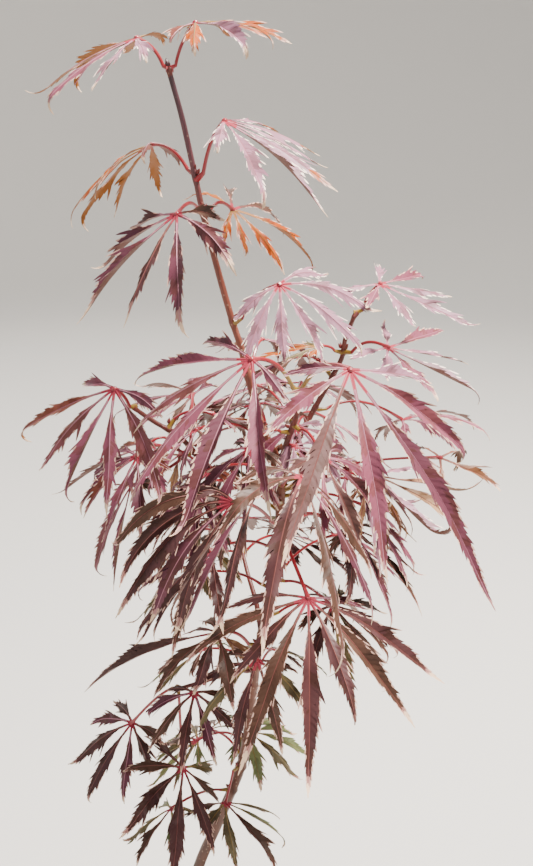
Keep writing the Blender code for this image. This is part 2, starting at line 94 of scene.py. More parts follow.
def makePaint(name, colour, **finish):  # gives the material and its shader back
    material = bpy.data.materials.new(name)
    material.use_nodes = True
    material.diffuse_color = linear(colour)
    shader = material.node_tree.nodes["Principled BSDF"]
    feed(shader, dict(finish, Base_Color=linear(colour)))
    return material, shader


def meshObject(name, bm, materials, sharp=40):
    mesh = bpy.data.meshes.new(name)
    bm.to_mesh(mesh)
    bm.free()
    return finishMesh(name, mesh, materials, sharp)


def finishMesh(name, mesh, materials, sharp):
    mesh.shade_smooth()
    mesh.set_sharp_from_angle(angle=radians(sharp))
    for material in materials:
        mesh.materials.append(material)
    item = bpy.data.objects.new(name, mesh)
    bpy.context.scene.collection.objects.link(item)
    return item


def turned(profile, segments, weld=0.01 * mm):  # a profile of radii and heights, spun round the middle
    bm = bmesh.new()
    verts = [bm.verts.new((radius, 0, height)) for radius, height in profile]
    edges = [bm.edges.new(pair) for pair in zip(verts, verts[1:])]
    bmesh.ops.spin(bm, geom=verts + edges, cent=(0, 0, 0), axis=(0, 0, 1), angle=2 * pi,
                   steps=segments, use_merge=True)
    bmesh.ops.remove_doubles(bm, verts=bm.verts, dist=weld)
    bmesh.ops.recalc_face_normals(bm, faces=bm.faces)
    return bm


stageSetup = dict(floorRadius=2.6, curve=1.3, curveSteps=12, wallTop=3.4, segments=96,
                  colour=(218, 216, 212), roughness=0.9, skyColour=(240, 244, 250), skyStrength=0.38)
lamps = {
    "key_light": dict(place=(0.75, 0.1, 2.1), size=0.4, power=178, colour=(255, 247, 238)),
    "front_light": dict(place=(-1.2, -1.6, 1.6), size=2.0, power=16, colour=(246, 248, 255)),
    "rear_light": dict(place=(-0.7, 1.9, 1.6), size=1.6, power=20, colour=(255, 250, 244)),
}
lampAim = (0.03, -0.02, 0.5)


def makeStage():
    radius, curve, steps = (stageSetup[key] for key in ("floorRadius", "curve", "curveSteps"))
    turns = [pi / 2 * step / steps for step in range(1, steps + 1)]
    profile = [(0.0, 0.0), (radius / 2, 0.0), (radius, 0.0)]
    profile += [(radius + curve * sin(turn), curve * (1 - cos(turn))) for turn in turns]
    profile.append((radius + curve, stageSetup["wallTop"]))
    material, _ = makePaint("studio_floor", stageSetup["colour"], Roughness=stageSetup["roughness"])
    floor = meshObject("studio_floor", turned(profile, stageSetup["segments"], 1 * mm), [material])
    if floor.data.polygons[0].normal.z < 0:
        floor.data.flip_normals()


def makeLights():
    world = bpy.data.worlds.new("studio")
    world.use_nodes = True
    feed(world.node_tree.nodes["Background"],
         dict(Color=linear(stageSetup["skyColour"]), Strength=stageSetup["skyStrength"]))
    bpy.context.scene.world = world
    for name, lamp in lamps.items():
        data = bpy.data.lights.new(name, "AREA")
        data.shape = "DISK"
        data.size = lamp["size"]
        data.energy = lamp["power"]
        data.color = linear(lamp["colour"])[:3]
        light = bpy.data.objects.new(name, data)
        light.location = lamp["place"]
        aim = Vector(lampAim) - Vector(lamp["place"])
        light.rotation_euler = aim.to_track_quat("-Z", "Y").to_euler()
        bpy.context.scene.collection.objects.link(light)


class Heap:  # many small shapes gathered into one mesh, each face with its own finish
    def __init__(self, name):
        self.name, self.points, self.faces, self.finishes = name, [], [], []

    def ringTube(self, rings, finishOf, tip=None):  # closed tube of equal rings, flat or pointed
        first, size, rows = len(self.points), len(rings[0]), len(rings) - 1
        last = first + rows * size
        self.points += [point for ring in rings for point in ring]
        corners = [(corner, (corner + 1) % size) for corner in range(size)]
        for row in range(rows):
            low = first + row * size
            self.faces += [(low + a, low + b, low + size + b, low + size + a) for a, b in corners]
            self.finishes += [finishOf(row, corner) for corner in range(size)]
        self.faces.append(tuple(range(first + size - 1, first - 1, -1)))
        self.finishes.append(finishOf(0, size // 4))
        if tip is None:
            self.faces.append(tuple(range(last, last + size)))
            self.finishes.append(finishOf(rows - 1, size // 4))
            return
        self.points.append(tip)
        self.faces += [(last + a, last + b, len(self.points) - 1) for a, b in corners]
        self.finishes += [finishOf(rows - 1, corner) for corner in range(size)]

    def plainTube(self, path, radii, sides, finish, relief=None, tip=None):
        self.ringTube(roundRings(path, radii, sides, relief), lambda row, corner: finish, tip)

    def build(self, paints, sharp=40):
        used = list(dict.fromkeys(self.finishes))
        mesh = bpy.data.meshes.new(self.name)
        mesh.from_pydata(self.points, [], self.faces)
        mesh.polygons.foreach_set("material_index", [used.index(finish) for finish in self.finishes])
        return finishMesh(self.name, mesh, [paints[finish] for finish in used], sharp)


# limbs: the stem and its side shoots, as the solids have them; axes and heights are in mm
stemShape = dict(
    axis=((-10, 3, 155), (-13, 4, 200), (-10, 2, 243), (-2.5, 0, 282), (10, 0, 317),
          (27, 1, 368), (33, 1, 415), (37, 0, 451), (43, -1, 479), (47, 0, 502),
          (49.5, 0, 543), (49, 0, 570), (40, 1, 591), (33.5, 0, 616), (29, 0, 636),
          (24.5, 0, 651), (16.5, -1, 682), (11, 0, 705), (8, 0, 720.5), (2.5, 0, 748),
          (-2.5, 0, 767.5)),
    baseRadius=4.4 * mm, tipRadius=1.25 * mm, taperPower=0.8, flare=5.2 * mm, flareHeight=9 * mm,
    graftSwell=2.0 * mm, graftHeight=34 * mm, graftReach=12 * mm,
    step=5.5 * mm, lowRings=11, skip=3,       # the rings that the solid keeps
    rootLobes=5, rootRidge=0.22, sunk=3, scarSlope=3.5 * mm, scarTurn=0.6, scarWidth=1.5 * mm,
    scarRise=0.09, barkStep=1.5 * mm, barkSides=32,
)
shoots = {  # start height on the stem, axis, radius at foot and at tip
    "shoot_front": (573, ((53, -12, 590), (57, -26, 609), (58, -35, 622.5)), 1.7, 1.3),
    "shoot_right": (570, ((68, 17, 596), (82, 22, 622), (84, 18, 636), (87, 10, 649)), 1.7, 1.2),
    "shoot_left": (555, ((16, 1, 564), (6.5, -2, 574), (-3.5, -4, 588), (-17, -6, 598),
                         (-25, -8, 605)), 1.8, 1.2),
    "shoot_low": (438, ((24, -6, 441), (10, -10, 438), (-8, -12, 433)), 1.4, 1.1),
    "shoot_back_high": (546, ((52, 14, 558), (55, 30, 570), (57, 42, 577)), 1.8, 1.3),
    "shoot_back_low": (462, ((36, 14, 474), (31, 28, 485), (28, 38, 492)), 1.7, 1.2),
}
shootShape = dict(step=6 * mm, barkStep=1.2 * mm, barkSides=18, firstReach=3 * mm,
                  sunk=1.5, footSwell=1.5)
soilLevel = stemShape["axis"][0][2] * mm


def smoothPath(points, step):  # evenly spaced places on the curve through the points
    ends = [points[0] * 2 - points[1]] + list(points) + [points[-1] * 2 - points[-2]]
    fine = [points[0]]
    for before, start, end, after in zip(ends, ends[1:], ends[2:], ends[3:]):
        pieces = max(2, round((end - start).length / mm))
        for piece in range(1, pieces + 1):
            t = piece / pieces
            fine.append(0.5 * (2 * start + (end - before) * t
                               + (2 * before - 5 * start + 4 * end - after) * t ** 2
                               + (3 * start - before - 3 * end + after) * t ** 3))
    travelled = [0]
    for start, end in zip(fine, fine[1:]):
        travelled.append(travelled[-1] + (end - start).length)
    count = max(2, round(travelled[-1] / step))
    path = []
    for index in range(count + 1):
        goal = travelled[-1] * index / count
        spot = min(max(bisect.bisect_left(travelled, goal), 1), len(fine) - 1)
        share = (goal - travelled[spot - 1]) / (travelled[spot] - travelled[spot - 1])
        path.append(fine[spot - 1].lerp(fine[spot], min(max(share, 0), 1)))
    return path


def directions(path):
    heads = [(path[1] - path[0]).normalized()]
    heads += [(after - before).normalized() for before, after in zip(path, path[2:])]
    return heads + [(path[-1] - path[-2]).normalized()]


def carrySide(side, head):
    return (side - head * side.dot(head)).normalized()


def level(bearing):
    return Vector((cos(bearing), sin(bearing), 0))


def roundRings(path, radii, sides, relief=None):  # rings of a round limb; relief scales the radius
    heads = directions(path)
    side = heads[0].orthogonal()
    rings = []
    for index, (place, head, radius) in enumerate(zip(path, heads, radii)):
        side = carrySide(side, head)
        other = head.cross(side)
        ring = []
        for corner in range(sides):
            angle = 2 * pi * corner / sides
            reach = radius * (relief(angle, index) if relief else 1)
            ring.append(place + (side * cos(angle) + other * sin(angle)) * reach)
        rings.append(ring)
    return rings


class Limb:  # axis and radius of a limb, and where things grow from it
    def __init__(self, path, radii):
        self.path, self.radii, self.heads = path, radii, directions(path)
        self.joints = []  # places along the axis where a leaf or a shoot leaves

    def spotAtHeight(self, height):
        for index, (below, above) in enumerate(zip(self.path, self.path[1:])):
            if below.z <= height <= above.z:
                return index + (height - below.z) / (above.z - below.z)
        return len(self.path) - 1

    def foot(self, spot, bearing):
        index = min(int(spot), len(self.path) - 2)
        axis = self.path[index].lerp(self.path[index + 1], spot - index)
        self.joints.append(axis)
        head = (self.path[index + 1] - self.path[index]).normalized()
        outward = carrySide(level(bearing), head)
        return axis + outward * (max(self.radii[index:index + 2]) + footGap), outward


def stemRadius(height):
    s = stemShape
    above = height - soilLevel
    share = above / (s["axis"][-1][2] * mm - soilLevel)
    radius = s["baseRadius"]
    radius += (s["tipRadius"] - radius) * max(share, 0) ** s["taperPower"]
    radius += s["flare"] * exp(-above / s["flareHeight"])
    fromGraft = (above - s["graftHeight"]) / s["graftReach"]
    return radius + s["graftSwell"] * exp(-fromGraft ** 2)


def growStem():
    dense = smoothPath([Vector(place) * mm for place in stemShape["axis"]], stemShape["step"])
    low = stemShape["lowRings"]
    path = dense[:low] + dense[low:-2:stemShape["skip"]] + dense[-1:]
    path[0] = Vector((path[0].x, path[0].y, soilLevel + clearance))
    return Limb(path, [stemRadius(place.z) for place in path])


def shootPath(name, stem, step):
    startHeight, places, footRadius, tipRadius = shoots[name]
    points = [Vector(place) * mm for place in places]
    spot = stem.spotAtHeight(startHeight * mm)
    away = points[0] - stem.path[int(spot)]
    foot, outward = stem.foot(spot, atan2(away.y, away.x))
    path = [foot] + smoothPath([foot + outward * shootShape["firstReach"]] + points, step)
    last = len(path) - 1
    return path, [(footRadius + (tipRadius - footRadius) * i / last) * mm for i in range(last + 1)]


# foliage: how each leaf stands, as the solids have it, with a tint for each of its lobes
def leaf(bearing, reach, rise, heading, pitch, roll, lobes, tints, droop=0.9, spread=212, arch=9,
         **look):
    lengths = lobes if isinstance(lobes, tuple) else [lobes * share for share in leafShape["fan"]]
    return dict(leafLook, bearing=radians(bearing), reach=reach * mm, rise=rise * mm,
                heading=radians(heading), pitch=radians(pitch), roll=radians(roll),
                lengths=[length * mm for length in lengths], tints=tints,
                spread=radians(spread), droop=droop, arch=arch * mm, **look)


leafLook = dict(crumple=0, olive=0.08, slim=0.82, jag=1.0, pale=0.13)  # where a leaf names none
leafShape = dict(
    fan=(0.45, 0.79, 0.96, 1.0, 0.96, 0.79, 0.45),
    pieces=48, droopPower=1.2, bow=radians(9), twist=radians(28), curlFrom=0.8, curlPower=1.4,
    width=8.6 * mm, widthAt=60 * mm, widthPower=0.5,   # full width of a lobe of that length
    root=0.6 * mm, tip=0.3 * mm, rootEnd=0.06, widest=0.46, waist=0.25, waistEnd=0.8, tipPower=1.8,
    footRows=(0, 0.05, 0.1, 0.13), tipRows=(0.965, 0.985),   # smooth rows beside the teeth
)
tintNames = dict(r="rose", l="lilac", m="mauve", p="plum", b="bronze", o="olive", g="green",
                 a="amber", k="brick", w="withered", h="heather", d="dried", s="sunset",
                 u="russet")
# each region of the crown: slot in the record, its masses (place, twig where there is one, leaves)
# and the leaves between them; a place is mm up the stem or a share of a shoot
crown = {}
crown["leaves_top"] = "leaf_upper", {
    "leaves_tip": (767.5, (100, 1, 2.5),
        leaf(183, 15, 13, 174, -15, -10, 61, "aaakrll", 0.64, 218, arch=5, olive=0, slim=0.85,
             jag=1.2),
        leaf(14, 13, 19.5, 347, 5, 5, 47, "kalaaak", 0.73, 226, arch=4, olive=0, slim=0.95,
             jag=1.2)),
    "leaf_second_left": (724,
        leaf(125, 40, 10, 167, -27, 8, 65, "bkkkaak", 1.05, 208, olive=0, slim=0.7)),
    "leaf_second_right": (721,
        leaf(319, 18, 27, 344, -19, 6, (30, 66, 74, 62, 54, 59, 52), "lllslss", 0.45, 150, olive=0,
             slim=0.75, jag=1.5, pale=0.16)),
    "leaf_third_left": (706,
        leaf(256, 36, 4, 239, -33, 12, (45, 53, 68, 60, 73, 54, 26), "mmmpmmb", 0.78, 203, olive=0,
             slim=0.85, jag=1.25, pale=0.24)),
    "leaf_third_right": (704,
        leaf(59, 24, -1, 25, -14, 33, (25, 28, 43, 67, 59, 49, 38), "aaaabba", 1.2, 238, olive=0,
             slim=0.7)),
    "leaf_fourth_right": (650,
        leaf(324, 27, 23, 320, -38, 22, (31, 48, 42, 46, 56, 58, 34), "lllllll", 0.95, 196,
             slim=0.74, jag=1.5, pale=0.1)),
}, ()
crown["leaves_right_side"] = "leaf_middle", {
    "leaves_right": (("shoot_right", 1), (20, 2, 3),
        leaf(3, 12, 15, 330, -15, 5, (30, 30, 43, 57, 40, 43, 29), "lrlllrl", 0.15, 233, arch=4,
             slim=0.8)),
    "leaf_right_low": (("shoot_right", 0.76),
        leaf(318, 27, 8, 339, -20, 4, (34, 37, 45, 58, 50, 66, 30), "llrllrl", 0.05, 222,
             slim=0.86, jag=0.8)),
    "leaf_right_back": (("shoot_right", 0.4),
        leaf(22, 54, -14, 26, 12, -20, 58, "rmrrmrb", 1.1, 230, arch=16)),
    "leaf_withered": (556,
        leaf(345, 50, 14, 341, -20, 2, (30, 42, 63, 62, 68, 44, 30), "wwlwwlw", 0.2, 209,
             crumple=0.35)),
}, (
    (552, leaf(5, 44, -8, 2, -42, 8, 56, "rlmrmlr", 0.8, slim=0.7)),
    (("shoot_right", 0.12), leaf(338, 30, -4, 335, -34, 0, 54, "lrlwlrl", 0.6, crumple=0.3,
         slim=0.6)),
    (("shoot_right", 0.3), leaf(250, 16, 4, 285, -40, 0, 42, "lrlrlrl", 0.8)),
    (("shoot_right", 0.6), leaf(130, 26, 4, 120, -20, 0, 48, "rmrrmrb")),
    (("shoot_right", 0.75), leaf(190, 10, 4, 184, -4, 0, (16, 28, 38, 26, 16), "oaaoa", 0.25, 110,
         arch=2, slim=0.95)),
    (561, leaf(350, 82, 20, 335, -10, 10, (24, 32, 36, 34, 26), "ddddd", 0.5, 290, crumple=1,
         slim=0.75)),
    (558, leaf(338, 46, 10, 300, -40, 0, (22, 36, 44, 38, 20), "dwddw", 1.3, 150, crumple=0.6,
         slim=0.45)),
)
crown["leaves_left_side"] = "leaf_middle", {
    "leaves_left": (("shoot_left", 1), (200, 2, 2),
        leaf(239, 14, 14, 227, -45, -1, (32, 82, 60, 66, 67, 76, 34), "rkurrum", 0.65, 193, arch=3,
             slim=0.8)),
    "leaf_left_low": (("shoot_left", 0.6),
        leaf(178, 33, -20, 253, -48, 45, (32, 70, 58, 48, 32), "kurub", 0.97, 200, arch=-4,
             slim=0.95)),
    "leaf_left_mid": (("shoot_left", 0.42),
        leaf(159, 34, 11, 209, -17, 5, (32, 52, 72, 58, 56, 50, 12), "mkrmmkb", 0.72, 216)),
    "leaf_left_back": (("shoot_left", 0.62),
        leaf(92, 35, 17, 169, 0, -14, (29, 46, 57, 58, 40, 30, 24), "mrbmrbk", 0.8, 218)),
}, (
    (("shoot_left", 0.75), leaf(215, 22, -6, 232, -42, 0, 48, "rmkrmrk")),
    (("shoot_left", 0.3), leaf(230, 26, 2, 226, -38, 0, 52, "mrmbmrk", 0.95)),
    (("shoot_left", 0.5), leaf(120, 8, -20, 236, -30, 0, 25, "rrlrrrl", 0.6, arch=1)),
    (573, leaf(165, 15, 4, 200, -40, 0, (12, 18, 24, 26, 22, 18, 12), "lwrlwrl", 1.6, crumple=0.8)),
    (("shoot_left", 0.8), leaf(20, 24, 4, 60, -20, 0, 44, "rmkrmrb")),
)
crown["leaves_front_fans"] = "leaf_middle", {
    "leaves_front": (("shoot_front", 1), (250, 2, 3),
        leaf(229, 34, 24, 206, -33, -15, (45, 77, 69, 87, 92, 80, 31), "mrurmrm", 0.57, 181,
             arch=12, olive=0.38, slim=0.78),
        leaf(288, 62, 30, 282, -43, -15, (29, 50, 90, 89, 116, 74, 46), "mrhrmrl", 0.58, 196,
             arch=14, olive=0.38, slim=0.78, pale=0.1)),
    "leaf_centre_front": (560,
        leaf(277, 70, 36, 283, -13, -34, (35, 64, 98, 101, 76, 62, 47), "bbpbmbp", 1.33, 193,
             arch=6, slim=0.78)),
}, (
    (("shoot_front", 0.5), leaf(200, 20, -6, 218, -44, 0, 50, "mrmrmrb", 1.0)),
    (("shoot_front", 0.62), leaf(302, 24, -8, 312, -44, 0, 52, "hmrhmrm", 1.0)),
    (573, leaf(300, 14, 14, 12, -10, 10, (20, 30, 38, 36, 30, 22, 16), "lrlrlrl", 0.4, 200)),
    (566, leaf(195, 36, 6, 214, -30, 10, 56, "mrmrmbk", 1.0)),
    (566, leaf(12, 38, 3, 356, -34, -8, 60, "mrbmrmb")),
)
crown["leaves_centre"] = "leaf_middle", {
    "leaf_centre_dark": (549,
        leaf(261, 65, 40, 213, -36, 28, (18, 40, 90, 76, 84, 0), "pmpmpp", 0.99, 167, arch=6)),
    "leaf_centre_left": (536,
        leaf(241, 46, 33, 202, -8, -86, (40, 77, 77, 87, 80, 81, 38), "pbppmpb", 2.0, 115, arch=8)),
    "leaf_centre_back": (592,
        leaf(134, 70, -38, 200, -30, -10, (28, 35, 30, 30, 26), "lwlwl", 0.8, 215, arch=12)),
    "leaf_lower_right": (530,
        leaf(288, 45, -15, 268, -25, -2, (50, 75, 60, 95, 100, 70, 84, 84, 36), "pbpbppbpm", 0.89,
             198, arch=3)),
}, (
    (540, leaf(350, 38, -4, 338, -34, 0, 64, "bpmbpbb")),
    (543, leaf(140, 34, 2, 152, -24, 6, 58, "pbpmpbb", 0.95)),
    (521, leaf(60, 38, 2, 60, -24, 0, 58, "bpbbpob", 0.95)),
    (521, leaf(205, 38, 6, 206, -28, -4, 64, "bpmpbpo")),
    (500, leaf(330, 34, -6, 322, -30, 0, 60, "bpobpbo")),
    (494, leaf(176, 38, 8, 182, -24, 4, 58, "bpbopbo")),
)
crown["leaves_rear"] = "leaf_middle", {
    "leaves_back_high": (("shoot_back_high", 1), (85, 3, 2),
        leaf(38, 26, -5, 42, -28, 5, 60, "rmrlrmb"),
        leaf(80, 33, 12, 80, -18, 0, 68, "mrrrmrk"),
        leaf(128, 34, 12, 128, -20, -5, 66, "rrmrlrm"),
        leaf(160, 26, 6, 136, -10, -5, 56, "mkrmrbk", 0.8)),
    "leaf_back_right": (505,
        leaf(38, 42, 8, 35, -22, 5, 62, "mbmrmbp")),
}, (
    (582, leaf(100, 36, 10, 98, -20, 5, 58, "rmbmrpm")),
    (590, leaf(190, 34, 4, 188, -26, 5, 50, "rmrlrmb")),
    (621, leaf(75, 26, 12, 75, -14, 0, 46, "lrlrrla", 0.8)),
    (("shoot_back_high", 0.5), leaf(175, 28, 0, 176, -24, 5, 52, "mrbrmpb", 0.95)),
)
crown["leaves_lower_front"] = "leaf_lower", {
    "leaf_low_left": (455,
        leaf(204, 23, 15, 214, -10, -1, (31, 30, 93, 52, 40, 50, 31), "bhhbpbw", 1.0, 211,
             slim=1.1)),
    "leaves_low": (("shoot_low", 1), (150, 2, -1),
        leaf(156, 34, -36, 222, -35, -5, (28, 38, 52, 58, 48, 36, 26), "pmppmpb", 0.75, arch=8,
             slim=1.0),
        leaf(288, 6, -54, 266, -19, -40, (31, 39, 59, 71, 54, 36, 28), "pbpppbo", 0.6, 235, arch=5,
             slim=1.0)),
    "leaf_bottom_right": (364,
        leaf(225, 10, -21, 312, -3, -22, (30, 32, 52, 56, 50, 46, 0), "boobgoo", 0.65, 209, arch=3,
             slim=1.0)),
    "leaf_bottom_left": (346,
        leaf(208, 38, 2, 233, -10, 30, (28, 42, 40, 46, 16), "gobgo", spread=215, slim=1.0)),
}, (
    (472, leaf(262, 30, -4, 250, -30, 0, 56, "bpopbob", 0.95)),
    (("shoot_low", 0.7), leaf(250, 14, 3, 256, -30, 0, 44, "pmbpmpb")),
)
crown["leaves_lower_rear"] = "leaf_lower", {
    "leaves_back_low": (("shoot_back_low", 1), (110, 3, 1),
        leaf(30, 32, 4, 35, -22, 5, 64, "pbpmpbb", 0.95),
        leaf(85, 32, 8, 88, -20, 0, 66, "pmpbpmp", 0.95),
        leaf(140, 32, 6, 145, -25, -5, 64, "bppmpbo", 0.95),
        leaf(190, 26, -6, 180, -30, -5, 58, "bpbopbw", 0.95)),
    "leaf_lower_back": (425,
        leaf(75, 38, -2, 80, -25, 5, 58, "bobpobg", 0.95)),
    "leaf_bottom_back": (399,
        leaf(94, 37, -42, 351, -2, -8, (29, 47, 52, 53, 42, 55, 29), "ggogggo", spread=204,
             slim=1.1)),
    "leaf_bottom_rear": (371,
        leaf(128, 34, -4, 125, -22, -5, 54, "gobogbo", 0.95)),
}, (
    (476, leaf(20, 36, 0, 18, -26, 0, 56, "bobpbop", 0.95)),
    (440, leaf(150, 34, -2, 150, -26, 4, 52, "obobgob", 0.95)),
    (385, leaf(170, 28, -6, 172, -24, 0, 44, "gobogog")),
)


def smoothStep(low, high, value):
    t = min(max((value - low) / (high - low), 0), 1)
    return t * t * (3 - 2 * t)


def bladeAxes(shape):  # way the leaf points and the way to its left
    turn = Matrix.Rotation(shape["heading"], 3, "Z") @ Matrix.Rotation(-shape["pitch"], 3, "Y")
    turn = turn @ Matrix.Rotation(shape["roll"], 3, "X")
    return turn @ Vector((1, 0, 0)), turn @ Vector((0, 1, 0))


class LobeLine:  # midrib of a lobe: places, and the blade's sideways and upward directions
    def __init__(self, hub, ahead, left, angle, length, droop, bow, twist, curl, curlFrom, sway):
        place = hub.copy()
        side = left * cos(angle) - ahead * sin(angle)
        self.stations, self.last = [], leafShape["pieces"]
        for piece in range(self.last + 1):
            t = min((piece + 0.5) / self.last, 1)
            bent = angle + bow * (t - 0.5) + sway[0] * sin(sway[1] * t + sway[2]) * t
            head = ahead * cos(bent) + left * sin(bent)
            head += down * (droop * t ** leafShape["droopPower"])
            head.normalize()
            side = carrySide(side, head)
            curled = max(t - curlFrom, 0) / (1 - curlFrom)
            head = Matrix.Rotation(curl * curled ** leafShape["curlPower"], 3, side) @ head
            rolled = Matrix.Rotation(twist * piece / self.last, 3, head) @ side
            self.stations.append((place.copy(), rolled, head.cross(rolled)))
            place += head * (length / self.last)

    def at(self, share, across, lift):
        spot = min(max(share, 0), 1) * self.last
        index = min(int(spot), self.last - 1)
        place, side, above = (before.lerp(after, spot - index)
                              for before, after in zip(*self.stations[index:index + 2]))
        return place + side * across + above * lift


def bladeReach(share, length, slim):  # half the blade's width, its teeth left out
    s = leafShape
    broad = slim * s["width"] / 2 * (length / s["widthAt"]) ** s["widthPower"]
    rise = smoothStep(s["rootEnd"], s["widest"], share)
    waist = 1 - s["waist"] * smoothStep(s["widest"], s["waistEnd"], share)
    beyond = max(share - s["widest"], 0) / (1 - s["widest"])
    body = broad * rise * waist * (1 - beyond ** s["tipPower"])
    return max(body, s["root"] * (1 - share) + s["tip"])


toothShape = dict(
    steps=(0.0, 0.42, 0.78, 1.0),     # rise of a tooth from its notch to its point
    pushes=(0.0, 0.10, 0.22, 0.38),   # how far it leans forward, in teeth
    veins=(-1, 0, 0.6, 1), otherEdge=2,   # the other edge runs this many steps ahead
    start=0.16, end=0.95, pitch=3.4 * mm, rise=1.0 * mm, fullFrom=2.4 * mm, fewest=6,
    longRise=2.4 * mm, longPush=3.5 * mm, firstLong=(0.24, 0.4), nextLong=(2, 3, 4),
    lastLong=(5, 6), longSizes=(1.0, 0.6, 0.35), longSpread=(0.3, 1), bold=(0.75, 1.15),
    low=(0.8, 1.0), tall=(0.4, 1.3), lean=(0.5, 1.6), paleShare=0.7,
)


class Margin:  # one edge of a lobe: its teeth, with a few long ones where the blade is widest
    def __init__(self, count, jag, chance):
        s, numbers = toothShape, range(count + 2)
        first = round(count * chance.uniform(*s["firstLong"]))
        second = first + chance.choice(s["nextLong"])
        third = first + chance.choice((*s["lastLong"], count))
        long = dict(zip((first, second, third), s["longSizes"]))
        bold = jag * chance.uniform(*s["bold"])
        self.lows = [chance.uniform(*s["low"]) for _ in numbers]
        self.talls = [bold * chance.uniform(*s["tall"]) for _ in numbers]
        self.leans = [chance.uniform(*s["lean"]) for _ in numbers]
        self.longs = [jag * long.get(number, 0) * chance.uniform(*s["longSpread"])
                      for number in numbers]
        self.pales = [chance.random() < s["paleShare"] for _ in numbers]

    def at(self, step, full, pitch, length):  # reach, push, vein, whether the tip is pale
        s = toothShape
        number, phase = divmod(step, len(s["steps"]))
        rise, long = s["steps"][phase], self.longs[number]
        tooth = s["rise"] * self.talls[number] + s["longRise"] * long
        push = s["pushes"][phase] * self.leans[number] * pitch
        push += rise * long * s["longPush"] / length
        reach = full * self.lows[number] + rise * tooth * min(1, full / s["fullFrom"])
        return reach, push, s["veins"][phase], phase > 0 and self.pales[number]


def toothRows(length, slim, jag, chance):  # share along the midrib, half width, its two edges
    s = toothShape

    def plainRow(share):
        full = bladeReach(share, length, slim)
        return share, full, [(full, 0, 0, False)] * 2

    rows = [plainRow(share) for share in leafShape["footRows"]]
    span = s["end"] - s["start"]
    count = max(s["fewest"], round(length * span / s["pitch"]))
    steps = count * len(s["steps"])
    edges = [Margin(count, jag, chance) for _ in range(2)]
    for step in range(steps):
        share = s["start"] + span * step / steps
        full = bladeReach(share, length, slim)
        ends = [edge.at(step + hand * s["otherEdge"], full, span / count, length)
                for hand, edge in enumerate(edges)]
        rows.append((share, full, ends))
    return rows + [plainRow(share) for share in leafShape["tipRows"]]


lobeShape = dict(  # most: a limit as a share of the half width there
    folds=(-0.45, -0.2, 0.25, 0.5, 0.75), foldSpread=0.12, foldFull=3 * mm,  # along the midrib
    ripple=(0.05, 0.2), waves=(2.5, 4.5), waveEdge=1.3, slant=0.9, pushFrom=0.3,
    rib=0.16, ribFoot=0.4, ribMost=0.55, ribTop=0.34 * mm, ribFall=0.7, ribUnder=0.3 * mm,
    rim=0.32 * mm, pointRim=2.2, notchRim=0.8, rimMost=0.35, middle=0.48, thickness=0.3 * mm,
    thinMost=0.4, quilt=0.06 * mm, quiltMost=0.03, quiltEnd=0.97, quiltPower=0.8,
    paleShift=(-0.05, 0.04), creamFrom=(0.25, 0.5), endShift=0.03, endGrain=350,
    patches=(0.0, 0.3), patchGrain=130, sunsetTurn=(0.6, 0.8), pinkTop=0.07, pinkUnder=0.09,
)


